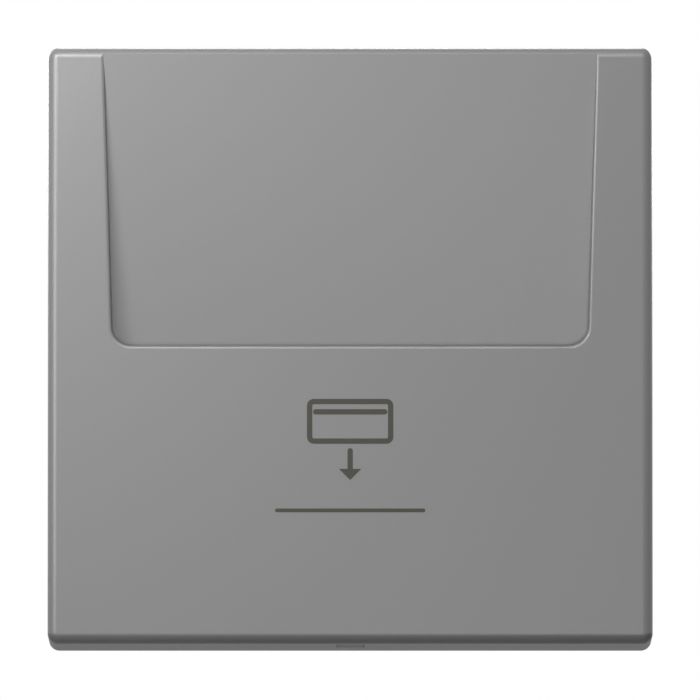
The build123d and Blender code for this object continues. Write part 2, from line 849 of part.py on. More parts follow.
# The housing behind the wall: walls, screw posts, a spring seat, and ports for the wires
with BuildPart() as insert_base:
    with BuildSketch(facing(base_back_out)):
        add(housing_outline())
    extrude(amount=base_depth)
    fillet(insert_base.faces().sort_by(Axis.Y)[-1].edges(), radius=base_round)
    with BuildSketch(facing(floor_out)):
        add(housing_outline(base_wall))
    extrude(amount=base_depth - base_floor, mode=Mode.SUBTRACT)
    with BuildSketch(facing(base_back_out + base_floor / 2)):
        with Locations(*insert_screw_spots):
            Circle(post_radius)
        with Locations((0, plunger_height)):
            Circle(seat_radius)
        for plane in terminals.values():
            with Locations(wall_spot(plane, port_inward)):
                Circle(port_radius + port_collar_wall)
    extrude(amount=base_floor / 2 + port_collar)
    with BuildSketch(facing(floor_out)):
        with Locations((0, plunger_height)):
            Circle(seat_radius)
    extrude(amount=seat_out - floor_out)
    with BuildSketch(facing(seat_out)):
        with Locations((0, plunger_height)):
            Circle(seat_pin_radius)
    extrude(amount=seat_pin_length)
    with BuildSketch(facing(floor_out)):
        with Locations(*insert_screw_spots):
            Circle(post_radius)
    extrude(amount=base_depth - base_floor)
    for plane in terminals.values():
        with BuildSketch(plane):
            with BuildLine():
                wall_near = clamp_far + clamp_thickness / 2 + clamp_wall_gap
                step_near = clamp_far - clamp_thickness / 2
                Polyline(
                    (step_near, floor_out - base_floor / 2),
                    (step_near, clamp_back_out - clamp_wall_gap),
                    (wall_near, clamp_back_out - clamp_wall_gap),
                    (wall_near, clamp_wall_top),
                    (wall_near + clamp_wall, clamp_wall_top),
                    (wall_near + clamp_wall, floor_out - base_floor / 2),
                    close=True,
                )
            make_face()
        extrude(amount=clamp_width / 2, both=True)
    with BuildSketch(facing(base_back_out)):
        for plane in terminals.values():
            with Locations(wall_spot(plane, port_inward)):
                Circle(port_radius)
    extrude(amount=base_floor + port_collar, mode=Mode.SUBTRACT)
    for plane in terminals.values():
        with BuildSketch(plane):
            with Locations((button_inward, base_back_out + base_floor / 2)):
                Rectangle(button_depth + 2 * button_gap, base_floor + 2 * overrun)
        extrude(amount=button_width / 2 + button_gap, both=True, mode=Mode.SUBTRACT)
    with BuildSketch(facing(-cap_thickness)):
        with Locations(*insert_screw_spots):
            Circle(post_hole_radius)
    extrude(amount=-post_hole_depth, mode=Mode.SUBTRACT)
insert_base.part.label = "insert_base"

# The springy arm that swings between the two fixed contacts
with BuildPart() as contact_arm:
    with BuildSketch(facing(arm_back_out)):
        with Locations((0, (arm_pivot_height + arm_shoulder) / 2)):
            Rectangle(arm_width, arm_pivot_height - arm_shoulder)
        with Locations((0, (arm_shoulder + arm_tip) / 2)):
            Rectangle(arm_tip_width, arm_shoulder - arm_tip)
        for side in (1, -1):
            with Locations((side * (arm_width / 2 + arm_barrel_width / 2) / 2, arm_pivot_height)):
                Rectangle(
                    (arm_width - arm_barrel_width) / 2,
                    2 * (rail_ear_radius + arm_thickness),
                    mode=Mode.SUBTRACT,
                )
        with Locations((0, plunger_height)):
            Circle(arm_hole_radius, mode=Mode.SUBTRACT)
        with Locations((0, contact_height)):
            Circle(contact_shank_radius, mode=Mode.SUBTRACT)
    extrude(amount=arm_thickness)
    with BuildSketch(side_view()):
        with Locations((arm_mid_out, arm_pivot_height)):
            Circle(arm_barrel_radius)
    extrude(amount=arm_barrel_width / 2, both=True)
    with BuildSketch(side_view()):
        with Locations((arm_mid_out, arm_pivot_height)):
            Circle(pin_radius + pin_clearance)
    extrude(amount=arm_width, both=True, mode=Mode.SUBTRACT)
contact_arm.part.label = "contact_arm"

with BuildPart() as contact_pin:
    add(rod(0, arm_mid_out, arm_pivot_height, pin_radius, pin_length))
contact_pin.part.label = "contact_pin"

# A silver rivet: on the arm it has a head on both faces, on a strip it has one
with BuildPart() as moving_contact:
    for face, way in ((arm_front_out, 1), (arm_back_out, -1)):
        with BuildSketch(facing(face)):
            with Locations((0, contact_height)):
                Circle(contact_radius)
        extrude(amount=way * contact_rise)
    with BuildSketch(facing(arm_back_out)):
        with Locations((0, contact_height)):
            Circle(contact_shank_radius)
    extrude(amount=arm_thickness)
moving_contact.part.label = "moving_contact"


def fixed_contact(face, way):
    """A rivet on a strip. Its face looks at the arm, and its shank fills the strip's hole."""
    with BuildPart() as rivet:
        with BuildSketch(facing(face)):
            with Locations((0, contact_height)):
                Circle(contact_radius)
        extrude(amount=way * contact_rise)
        with BuildSketch(facing(face)):
            with Locations((0, contact_height)):
                Circle(contact_shank_radius)
        extrude(amount=way * (contact_rise + rail_thickness))
    return rivet.part


def side_rail(side, near, far):
    """A brass rail with a terminal blade, and a strip that carries a fixed contact."""
    front = max(near, far)
    with BuildPart() as rail:
        with BuildSketch(side_view(side * rail_outer)):
            with Locations(((rail_back_out + front) / 2, terminal_height)):
                Rectangle(front - rail_back_out, 2 * rail_half)
            with Locations((front - rail_bridge / 2, (strip_low + terminal_height) / 2)):
                Rectangle(rail_bridge, terminal_height - strip_low)
        extrude(amount=side * rail_thickness)
        with BuildSketch(facing(near)):
            with Locations((side * (rail_outer - strip_overlap) / 2, (strip_low + strip_high) / 2)):
                Rectangle(rail_outer + strip_overlap, strip_high - strip_low)
            with Locations((0, contact_height)):
                Circle(contact_shank_radius, mode=Mode.SUBTRACT)
        extrude(amount=far - near)
    return rail.part


with BuildPart() as closed_contact:
    add(fixed_contact(closed_face_out, 1))
closed_contact.part.label = "closed_contact"

with BuildPart() as open_contact:
    add(fixed_contact(open_face_out, -1))
open_contact.part.label = "open_contact"

with BuildPart() as closed_rail:
    closed_near = closed_face_out + contact_rise
    add(side_rail(1, closed_near, closed_near + rail_thickness))
closed_rail.part.label = "closed_rail"

with BuildPart() as open_rail:
    open_near = open_face_out - contact_rise
    add(side_rail(-1, open_near, open_near - rail_thickness))
open_rail.part.label = "open_rail"

# The common rail: a blade along the top wall, a plate, and two ears that hold the arm's pin
with BuildPart() as common_rail:
    with BuildSketch(side_view()):
        with BuildLine():
            Polyline(
                (rail_back_out, top_rail_outer),
                (common_plate_out, top_rail_outer),
                (common_plate_out, common_low),
                (common_plate_out - rail_thickness, common_low),
                (common_plate_out - rail_thickness, top_rail_inner),
                (rail_back_out, top_rail_inner),
                close=True,
            )
        make_face()
    extrude(amount=common_half, both=True)
    for side in (1, -1):
        with BuildSketch(side_view(side * (common_half - rail_thickness / 2))):
            with Locations((arm_mid_out, arm_pivot_height)):
                Circle(rail_ear_radius)
            with Locations(((arm_mid_out + common_plate_out - rail_thickness) / 2, arm_pivot_height)):
                Rectangle(arm_mid_out - common_plate_out + rail_thickness, 2 * rail_ear_radius)
            with Locations((arm_mid_out, arm_pivot_height)):
                Circle(pin_radius + pin_clearance, mode=Mode.SUBTRACT)
        extrude(amount=rail_thickness / 2, both=True)
common_rail.part.label = "common_rail"


def clamp_spring(plane):
    """A leaf spring bent to a V. Its free end points at the rail and traps the wire there."""
    with BuildPart() as leaf:
        with BuildSketch(plane):
            with BuildLine():
                FilletPolyline(
                    (clamp_far, clamp_back_out),
                    (clamp_far, clamp_top_out),
                    (clamp_tip_gap + clamp_thickness / 2, clamp_tip_out),
                    radius=clamp_bend,
                )
            trace(line_width=clamp_thickness)
        extrude(amount=clamp_width / 2, both=True)
    return leaf.part


def release_button(plane):
    """A button that is pressed from behind to free a wire."""
    with BuildPart() as button:
        rear = base_back_out - button_travel - button_left_proud
        with BuildSketch(plane):
            with Locations((button_inward, (rear + button_front_out) / 2)):
                Rectangle(button_depth, button_front_out - rear)
        extrude(amount=button_width / 2, both=True)
        fillet(button.faces().sort_by(Axis.Y)[-1].edges(), radius=button_round)
        flange_rear = floor_out + button_flange_gap
        with BuildSketch(plane):
            with Locations((button_inward, flange_rear + button_flange_thickness / 2)):
                Rectangle(button_depth, button_flange_thickness)
        extrude(amount=button_width / 2 + button_flange, both=True)
    return button.part


clamp_springs = {}
release_buttons = {}
for name, plane in terminals.items():
    with BuildPart() as clamp:
        add(clamp_spring(plane))
    clamp.part.label = "clamp_spring_" + name
    clamp_springs[name] = clamp.part
    with BuildPart() as button:
        add(release_button(plane))
    button.part.label = "release_button_" + name
    release_buttons[name] = button.part


def claw(side):
    """A bent steel claw: a fork round its screw, a barrel, and an arm with teeth at its end."""
    arm_high = claw_arm_low + claw_arm_width
    arm_end = claw_pivot_out - claw_arm_length
    pitch = claw_arm_width / claw_teeth
    teeth = [(claw_pivot_across, claw_arm_low)]
    for tooth in range(claw_teeth):
        low = claw_arm_low + tooth * pitch
        teeth.append((claw_pivot_across + claw_thickness / 2, low))
        teeth.append((claw_pivot_across + claw_thickness / 2 + claw_tooth, low + pitch / 2))
    teeth.append((claw_pivot_across + claw_thickness / 2, arm_high))
    teeth.append((claw_pivot_across, arm_high))
    with BuildPart() as lever:
        with BuildSketch(top_view(claw_fork_high, side)):
            with Locations((claw_pivot_across + claw_fork_length / 2, claw_pivot_out)):
                Rectangle(claw_fork_length, claw_thickness)
        extrude(amount=2 * claw_fork_half)
        with BuildSketch(facing(claw_pivot_out, side)):
            slot_start = claw_pivot_across + claw_barrel_radius
            with Locations((slot_start + claw_fork_length / 2, claw_screw_height)):
                Rectangle(claw_fork_length, claw_fork_slot)
        extrude(amount=claw_thickness, both=True, mode=Mode.SUBTRACT)
        with BuildSketch(top_view(claw_fork_high, side)):
            with Locations((claw_pivot_across, claw_pivot_out)):
                Circle(claw_barrel_radius)
        extrude(amount=claw_fork_high - claw_arm_low)
        with BuildSketch(top_view(arm_high, side)):
            with Locations((claw_pivot_across, (claw_pivot_out + arm_end) / 2)):
                Rectangle(claw_thickness, claw_arm_length)
        extrude(amount=claw_arm_width)
        with BuildSketch(facing(arm_end, side)):
            with BuildLine():
                Polyline(*teeth, close=True)
            make_face()
        extrude(amount=claw_thickness)
        with BuildSketch(top_view(claw_fork_high + overrun, side)):
            with Locations((claw_pivot_across, claw_pivot_out)):
                Circle(claw_pin_radius + claw_clearance)
        extrude(amount=claw_fork_high - claw_arm_low + 2 * overrun, mode=Mode.SUBTRACT)
    return lever.part


def claw_pin(side):
    """The pin through a claw and its two lugs, with a head at each end."""
    low = claw_arm_low - claw_end_gap - claw_lug_thickness
    high = claw_fork_high + claw_end_gap + claw_lug_thickness
    with BuildPart() as pin:
        for top, length, radius in (
            (high, high - low, claw_pin_radius),
            (high + claw_pin_head, claw_pin_head, claw_pin_head_radius),
            (low, claw_pin_head, claw_pin_head_radius),
        ):
            with BuildSketch(top_view(top, side)):
                with Locations((claw_pivot_across, claw_pivot_out)):
                    Circle(radius)
            extrude(amount=length)
    return pin.part


def claw_nut(side):
    """The nut that draws a claw's fork forward with its rounded front."""
    with BuildPart() as nut:
        with BuildSketch(top_view(claw_screw_height + claw_nut_half, side)):
            with Locations((claw_screw_across, claw_nut_out)):
                Circle(claw_nut_round)
            with Locations((claw_screw_across, claw_nut_out - claw_nut_round)):
                Rectangle(2 * claw_nut_round, 2 * claw_nut_round, mode=Mode.SUBTRACT)
            with Locations((claw_screw_across, claw_nut_out - claw_nut_body / 2)):
                Rectangle(2 * claw_nut_round, claw_nut_body)
        extrude(amount=2 * claw_nut_half)
        with BuildSketch(facing(claw_nut_out - claw_nut_body - overrun, side)):
            with Locations((claw_screw_across, claw_screw_height)):
                Circle(claw_screw_radius + claw_clearance)
        extrude(amount=2 * (claw_nut_round + claw_nut_body), mode=Mode.SUBTRACT)
    return nut.part


claw_parts = {}
for name, side in claw_sides.items():
    with BuildPart() as claw_lever_piece:
        add(claw(side))
    claw_parts["claw_" + name] = claw_lever_piece.part
    with BuildPart() as pin_piece:
        add(claw_pin(side))
    claw_parts["claw_pin_" + name] = pin_piece.part
    with BuildPart() as screw_piece:
        add(
            screw(
                yoke_thickness + claw_head_gap,
                [(side * claw_screw_across, side * claw_screw_height)],
                claw_screw_radius,
                claw_screw_length,
                claw_screw_head_radius,
                claw_screw_head,
            )
        )
    claw_parts["claw_screw_" + name] = screw_piece.part
    with BuildPart() as nut_piece:
        add(claw_nut(side))
    claw_parts["claw_nut_" + name] = nut_piece.part
for name, piece in claw_parts.items():
    piece.label = name

pieces = [
    front_cover.part,
    card_guide.part,
    guide_screws.part,
    lever_axle.part,
    card_lever.part,
    lever_spring.part,
    plunger.part,
    plunger_spring.part,
    support_yoke.part,
    insert_screws.part,
    insert_cap.part,
    insert_base.part,
    contact_arm.part,
    contact_pin.part,
    moving_contact.part,
    closed_contact.part,
    open_contact.part,
    closed_rail.part,
    open_rail.part,
    common_rail.part,
]
pieces += clamp_springs.values()
pieces += release_buttons.values()
pieces += claw_parts.values()

os.makedirs("parts", exist_ok=True)
for piece in pieces:
    export_step(piece, "parts/" + piece.label + ".step")
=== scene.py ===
from math import cos, pi, radians, sin, tan

import bmesh
import bpy
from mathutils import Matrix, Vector


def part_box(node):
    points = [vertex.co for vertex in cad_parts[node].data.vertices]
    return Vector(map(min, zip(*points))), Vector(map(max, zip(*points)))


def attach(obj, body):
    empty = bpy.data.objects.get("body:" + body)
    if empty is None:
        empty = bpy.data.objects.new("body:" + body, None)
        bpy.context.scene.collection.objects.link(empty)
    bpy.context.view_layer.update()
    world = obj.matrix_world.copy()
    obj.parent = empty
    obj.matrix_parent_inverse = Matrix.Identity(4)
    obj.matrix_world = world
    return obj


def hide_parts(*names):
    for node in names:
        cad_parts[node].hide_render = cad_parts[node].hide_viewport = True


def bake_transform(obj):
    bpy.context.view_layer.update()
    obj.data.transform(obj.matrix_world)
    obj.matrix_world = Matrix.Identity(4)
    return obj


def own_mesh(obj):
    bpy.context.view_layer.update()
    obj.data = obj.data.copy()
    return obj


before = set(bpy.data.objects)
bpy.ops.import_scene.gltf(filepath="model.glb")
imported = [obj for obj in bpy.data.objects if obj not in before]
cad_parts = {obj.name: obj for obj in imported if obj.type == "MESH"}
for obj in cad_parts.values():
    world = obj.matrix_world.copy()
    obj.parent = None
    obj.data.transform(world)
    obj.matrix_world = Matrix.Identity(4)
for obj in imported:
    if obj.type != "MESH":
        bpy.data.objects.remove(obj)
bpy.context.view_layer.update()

bl_info = {
    "name": "Key Card Switch",
    "version": (1, 0, 0),
    "blender": (4, 5, 0),
    "location": "View3D > Sidebar > Card Switch",
    "description": "Finishes, printed mark and studio of a hotel key card switch",
    "category": "Object",
}

# The cover's face, as the model has it: its depth at the top edge and its slope
COVER_HALF = 0.03525
TOP_DEPTH = 0.009
FACE_SLOPE = tan(radians(3.2))

# The claw screws, as the model has them
SCREW_RADIUS = 0.0015
SCREW_HEAD = 0.0017
SCREW_HEAD_ROUND = 0.0004

# How finely the claw screws are turned: corners round the head and the shank, rings in each turn of
# the thread and in the head's rounding, and the head's middle as a share of its radius
HEAD_CORNERS = 48
SHANK_CORNERS = 32
THREAD_RINGS = 8
ROUND_RINGS = 4
HEAD_MIDDLE = 0.02

# Screw edges that turn by more than this look sharp
SHARP_EDGE = radians(40)

# The printed mark, in heights over the cover's middle: the card, its stripe, the arrow and the line
CARD_HEIGHT = -0.0083
CARD_HALF_WIDTH = 0.0050
CARD_HALF_HEIGHT = 0.0026
CARD_CORNER = 0.0008
STRIPE_HEIGHT = -0.0072
STRIPE_LENGTH = 0.0086
ARROW_TOP = -0.0114
ARROW_TIP = -0.0151
ARROW_HEAD = 0.0013
ARROW_ARCH_STEPS = 8
UNDERLINE_HEIGHT = -0.0186
UNDERLINE_LENGTH = 0.0174
UNDERLINE_SHARE = 0.7

# Where nearly all values of a noise lie
NOISE_MIDDLE = (0.3, 0.7)

# Bare metals that the panel doesn't list
PIN_STEEL = (0.6, 0.6, 0.6)
WIRE_STEEL = (0.5, 0.5, 0.52)
STRIP_STEEL = (0.55, 0.55, 0.56)
ARM_BRONZE = (0.7, 0.42, 0.2)

# The camera, straight in front of the cover at the photograph's distance
CAMERA_PLACE = (-0.0000174, -0.947, -0.000044)
CAMERA_LENS = 415.57
CAMERA_SENSOR = 36.0

# Half the floor's side and its own colour
FLOOR_HALF = 1.0
FLOOR_COLOUR = (0.2, 0.2, 0.2)

# How pale the floor is, the share of it that is left close to the object, where the floor is painted
# darker as painted shade round the object, and where that painted shade pool starts and ends
FLOOR_PALE = 0.75
FLOOR_SHADED_SHARE = 0.35
FLOOR_SHADE_POOL = (0.3, 0.8)

# Each clamp spring's leg runs along one axis (0 is X, 2 is Z), to one side, from this far out. Two
# places on the leg are worked out from these but not used; the spring stays as the model has it
CLAMP_LINES = {"common": (2, 1, 0.0128), "open": (0, -1, 0.0093), "closed": (0, 1, 0.0093)}
CLAMP_LEG_START = 0.0016
CLAMP_BEND_END = 0.0006

# The studio's lamps: name, place, side of the square and power. Those in front make the cover's
# gradient and the bright lines on its left and top roundings, and the rest light its other sides
LAMPS = (
    ("corner_lamp", (-0.0664, -0.0849, 0.0727), 0.06, 0.0549),
    ("left_lamp", (-0.1333, -0.1481, 0.0174), 0.08, 0.0602),
    ("top_lamp", (-0.0078, -0.1484, 0.1338), 0.08, 0.069),
    ("high_lamp", (-0.015, -0.1714, 0.2458), 0.25, 0.0823),
    ("near_lamp", (-0.055, -0.2053, 0.0569), 0.08, 0.0073),
    ("low_lamp", (-0.0647, -0.2415, 0.0), 0.1, 0.0085),
    ("sheen_lamp", (0.0626, -0.8956, -0.0628), 0.1, 0.305),
    ("rear_left_lamp", (-0.16, 0.24, 0.08), 0.12, 0.22),
    ("rear_right_lamp", (0.16, 0.24, 0.08), 0.12, 0.22),
    ("rear_top_lamp", (0.0, 0.26, 0.22), 0.12, 0.19),
)


def colour_property(name, description, value):
    """A colour that can be changed in the panel, given as it is in linear light."""
    return bpy.props.FloatVectorProperty(
        name=name,
        description=description,
        default=value,
        subtype="COLOR",
        size=3,
        min=0.0,
        max=1.0,
    )


def length_property(name, description, value):
    """A length that can be changed in the panel, in metres."""
    return bpy.props.FloatProperty(
        name=name,
        description=description,
        default=value,
        min=0.0,
        precision=5,
        unit="LENGTH",
        subtype="DISTANCE",
    )


class CardSwitchColours(bpy.types.PropertyGroup):
    """Colours of the switch's finishes."""

    cover: colour_property("Cover", "Satin lacquer of the cover", (0.287, 0.287, 0.287))
    mark: colour_property("Printed mark", "Ink of the mark on the cover", (0.07, 0.067, 0.05))
    guide: colour_property("Guide", "Moulded card guide", (0.045, 0.046, 0.048))
    lever: colour_property("Lever", "Moulded card lever", (0.62, 0.61, 0.57))
    plunger: colour_property("Plunger", "Moulded plunger", (0.5, 0.03, 0.02))
    cap: colour_property("Cap", "Moulded cap of the insert", (0.72, 0.71, 0.67))
    housing: colour_property("Housing", "Moulded housing of the insert", (0.42, 0.43, 0.44))
    button: colour_property("Release buttons", "Moulded wire release buttons", (0.75, 0.2, 0.02))
    zinc: colour_property("Zinc plate", "Bright zinc on the yoke, claws and screws", (0.62, 0.63, 0.64))
    brass: colour_property("Brass", "Bare brass of rails and nuts", (0.72, 0.5, 0.2))
    silver: colour_property("Silver", "Contact rivets", (0.83, 0.82, 0.79))


class CardSwitchSizes(bpy.types.PropertyGroup):
    """Sizes of what the scene adds to the model."""

    ink: length_property("Ink thickness", "How far the printed mark stands out", 0.00003)
    line: length_property("Line width", "Width of the printed mark's lines", 0.00062)
    floor_drop: length_property("Floor drop", "How far the floor lies under the middle", 0.085)
    thread_pitch: length_property("Thread pitch", "Pitch of the claw screws' thread", 0.0005)
    thread_depth: length_property("Thread depth", "Depth of the claw screws' thread", 0.00027)
    slot_width: length_property("Slot width", "Width of the claw screws' driver slot", 0.0006)
    slot_depth: length_property("Slot depth", "Depth of the claw screws' driver slot", 0.0007)


class Surface:
    """A node material under construction, with short ways to add its nodes."""

    def __init__(self, name, roughness, metallic=0.0, specular=0.5):
        self.material = bpy.data.materials.new(name)
        self.material.use_nodes = True
        self.nodes = self.material.node_tree.nodes
        self.links = self.material.node_tree.links
        self.shader = self.nodes["Principled BSDF"]
        self.set("Roughness", roughness)
        self.set("Metallic", metallic)
        self.set("Specular IOR Level", specular)
        self.place = self.nodes.new("ShaderNodeTexCoord").outputs["Object"]

    def set(self, socket, value):
        """Sets a value that is the same all over the surface."""
        self.shader.inputs[socket].default_value = value

    def stretched(self, scale):
        """Object coordinates stretched along the axes, for brushed and drawn metal."""
        mapping = self.nodes.new("ShaderNodeMapping")
        mapping.inputs["Scale"].default_value = scale
        self.links.new(self.place, mapping.inputs["Vector"])
        return mapping.outputs["Vector"]

    def noise(self, size, detail=3.0, place=None):
        """Noise whose blotches are about this many metres across."""
        node = self.nodes.new("ShaderNodeTexNoise")
        node.inputs["Scale"].default_value = 1.0 / size
        node.inputs["Detail"].default_value = detail
        self.links.new(place or self.place, node.inputs["Vector"])
        return node.outputs["Fac"]

    def ramp(self, value, low, high):
        """The middle of a noise spread over a range of values."""
        node = self.nodes.new("ShaderNodeMapRange")
        node.inputs["From Min"].default_value = NOISE_MIDDLE[0]
        node.inputs["From Max"].default_value = NOISE_MIDDLE[1]
        node.inputs["To Min"].default_value = low
        node.inputs["To Max"].default_value = high
        self.links.new(value, node.inputs["Value"])
        return node.outputs["Result"]

    def tint(self, value, colour, spread):
        """Base colour that wanders a little to both sides of one colour."""
        mix = self.nodes.new("ShaderNodeMix")
        mix.data_type = "RGBA"
        mix.inputs["A"].default_value = [c * (1 - spread) for c in colour] + [1]
        mix.inputs["B"].default_value = [min(1, c * (1 + spread)) for c in colour] + [1]
        self.links.new(value, mix.inputs["Factor"])
        self.links.new(mix.outputs["Result"], self.shader.inputs["Base Color"])

    def bump(self, value, height):
        """Fine relief, with its height in metres."""
        node = self.nodes.new("ShaderNodeBump")
        node.inputs["Distance"].default_value = height
        node.inputs["Strength"].default_value = 1.0
        self.links.new(value, node.inputs["Height"])
        self.links.new(node.outputs["Normal"], self.shader.inputs["Normal"])

    def vary_roughness(self, value, low, high):
        """Roughness that follows a noise between two values."""
        self.links.new(self.ramp(value, low, high), self.shader.inputs["Roughness"])


def lacquer(name, colour):
    """Satin metallic lacquer: a fine even flake and a very faint orange peel."""
    surface = Surface(name, 0.33, metallic=0.3)
    surface.tint(surface.noise(0.00035, 2.0), colour, 0.012)
    surface.vary_roughness(surface.noise(0.0006, 2.0), 0.32, 0.34)
    surface.bump(surface.noise(0.0009, 2.0), 0.0000004)
    return surface.material


def moulding(name, colour, roughness=0.45, grain=0.00025, height=0.000006, spread=0.02):
    """Moulded plastic with a fine spark-eroded grain and faint flow marks."""
    surface = Surface(name, roughness)
    surface.tint(surface.noise(0.008, 2.0, surface.stretched((1.0, 1.0, 0.35))), colour, spread)
    surface.vary_roughness(surface.noise(0.0008, 2.0), roughness - 0.03, roughness + 0.04)
    surface.bump(surface.noise(grain, 2.0), height)
    return surface.material


def rolled(name, colour, roughness, stretch, spread=0.03):
    """Sheet metal with fine rolling lines along one axis."""
    surface = Surface(name, roughness, metallic=1.0)
    lines = surface.noise(0.0003, 3.0, surface.stretched(stretch))
    surface.tint(surface.noise(0.009, 2.0), colour, spread)
    surface.vary_roughness(lines, roughness - 0.03, roughness + 0.04)
    surface.bump(lines, 0.0000005)
    return surface.material


def plated(name, colour, roughness, spread=0.03):
    """Plated small parts: bright, with a slightly cloudy skin."""
    surface = Surface(name, roughness, metallic=1.0)
    surface.tint(surface.noise(0.002, 2.0), colour, spread)
    surface.vary_roughness(surface.noise(0.0007, 2.0), roughness - 0.03, roughness + 0.04)
    surface.bump(surface.noise(0.0003, 2.0), 0.0000004)
    return surface.material


def printed(name, colour):
    """Pad-printed ink, a little glossier than the lacquer under it."""
    surface = Surface(name, 0.42)
    surface.tint(surface.noise(0.0006), colour, 0.05)
    surface.bump(surface.noise(0.0002, 2.0), 0.000001)
    return surface.material


def paint(material, *nodes):
    """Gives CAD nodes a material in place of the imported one."""
    for node in nodes:
        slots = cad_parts[node].data.materials
        slots.clear()
        slots.append(material)


def new_piece(name, body, material, mesh):
    """Links a finished mesh as a piece that moves with a body."""
    piece = bpy.data.objects.new(name, mesh)
    bpy.context.scene.collection.objects.link(piece)
    mesh.materials.append(material)
    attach(piece, body)
    return piece


def spring_piece(name, node, material):
    """A spring with the model's own form, as a copy that takes the CAD node's place."""
    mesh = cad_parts[node].data.copy()
    mesh.materials.clear()
    mesh.materials.append(material)
    piece = bpy.data.objects.new(name, mesh)
    bpy.context.scene.collection.objects.link(piece)
    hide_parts(node)
    return piece


def face_point(across, height, lift):
    """A point over the cover's face, lifted from it."""
    out = TOP_DEPTH + (COVER_HALF - height) * FACE_SLOPE
    normal = Vector((0, -1, FACE_SLOPE)).normalized()
    return Vector((across, -out, height)) + normal * lift


def ink_prism(bm, outline, lift):
    """A flat closed form on the face, from just under the lacquer to the ink's top."""
    low = [bm.verts.new(face_point(x, z, -lift)) for x, z in outline]
    high = [bm.verts.new(face_point(x, z, lift)) for x, z in outline]
    count = len(outline)
    bm.faces.new(high)
    bm.faces.new(list(reversed(low)))
    for i in range(count):
        j = (i + 1) % count
        bm.faces.new((low[i], low[j], high[j], high[i]))


def rounded_path(half_width, half_height, radius, steps=8):
    """The corners of a rounded rectangle about the origin, counter-clockwise."""
    points = []
    for quarter, (sx, sz) in enumerate(((1, 1), (-1, 1), (-1, -1), (1, -1))):
        for k in range(steps + 1):
            turn = (quarter + k / steps) * pi / 2
            points.append(
                (
                    sx * (half_width - radius) + radius * cos(turn),
                    sz * (half_height - radius) + radius * sin(turn),
                )
            )
    return points


def ink_frame(bm, centre, half_width, half_height, radius, line, lift):
    """A rounded outline drawn with a line of even width."""
    outer = rounded_path(half_width, half_height, radius)
    inner = rounded_path(half_width - line, half_height - line, max(radius - line, line / 4))
    rings = []
    for path in (outer, inner):
        for level in (-lift, lift):
            points = [face_point(centre[0] + x, centre[1] + z, level) for x, z in path]
            rings.append([bm.verts.new(point) for point in points])
    outer_low, outer_high, inner_low, inner_high = rings
    count = len(outer)
    for i in range(count):
        j = (i + 1) % count
        bm.faces.new((outer_high[i], outer_high[j], inner_high[j], inner_high[i]))
        bm.faces.new((outer_low[j], outer_low[i], inner_low[i], inner_low[j]))
        bm.faces.new((outer_low[i], outer_low[j], outer_high[j], outer_high[i]))
        bm.faces.new((inner_low[j], inner_low[i], inner_high[i], inner_high[j]))


def ink_bar(bm, centre, length, line, lift):
    """A straight level line with round ends."""
    path = rounded_path(length / 2, line / 2, line / 2)
    ink_prism(bm, [(centre[0] + x, centre[1] + z) for x, z in path], lift)


def ink_arrow(bm, top, tip, head, line, lift):
    """An arrow down, with a round upper end and a head as high as half its width."""
    half = line / 2
    base = tip + head
    arch = []
    for k in range(ARROW_ARCH_STEPS + 1):
        turn = pi * k / ARROW_ARCH_STEPS
        arch.append((half * cos(turn), top - half + half * sin(turn)))
    ink_prism(bm, [(-head, base), (0, tip), (head, base), (half, base)] + arch + [(-half, base)], lift)


def lathe(bm, axis, profile, segments):
    """A closed turned form about an axis that runs backward; the profile gives radius and place."""
    rings = []
    for radius, along in profile:
        ring = []
        for k in range(segments):
            turn = 2 * pi * k / segments
            r = radius(turn) if callable(radius) else radius
            ring.append(bm.verts.new((axis[0] + r * sin(turn), along, axis[1] + r * cos(turn))))
        rings.append(ring)
    for near, far in zip(rings, rings[1:]):
        for k in range(segments):
            n = (k + 1) % segments
            bm.faces.new((near[k], far[k], far[n], near[n]))
    bm.faces.new(rings[0])
    bm.faces.new(list(reversed(rings[-1])))


def thread_profile(start, end, radius, depth, pitch):
    """A right-handed thread: places along the screw, each with its radius round the axis."""
    count = int(round((end - start) / pitch * THREAD_RINGS))
    profile = []
    for i in range(count + 1):
        along = start + (end - start) * i / count
        painted_shade_fade = min(1.0, (end - along) / pitch)

        def ridge(turn, along=along, painted_shade_fade=painted_shade_fade):
            wave = ((along / pitch) - turn / (2 * pi)) % 1.0
            rise = max(0.0, min(1.0, 1.5 * abs(2 * wave - 1) - 0.2))
            return radius - depth + painted_shade_fade * depth * rise

        profile.append((ridge, along))
    return profile


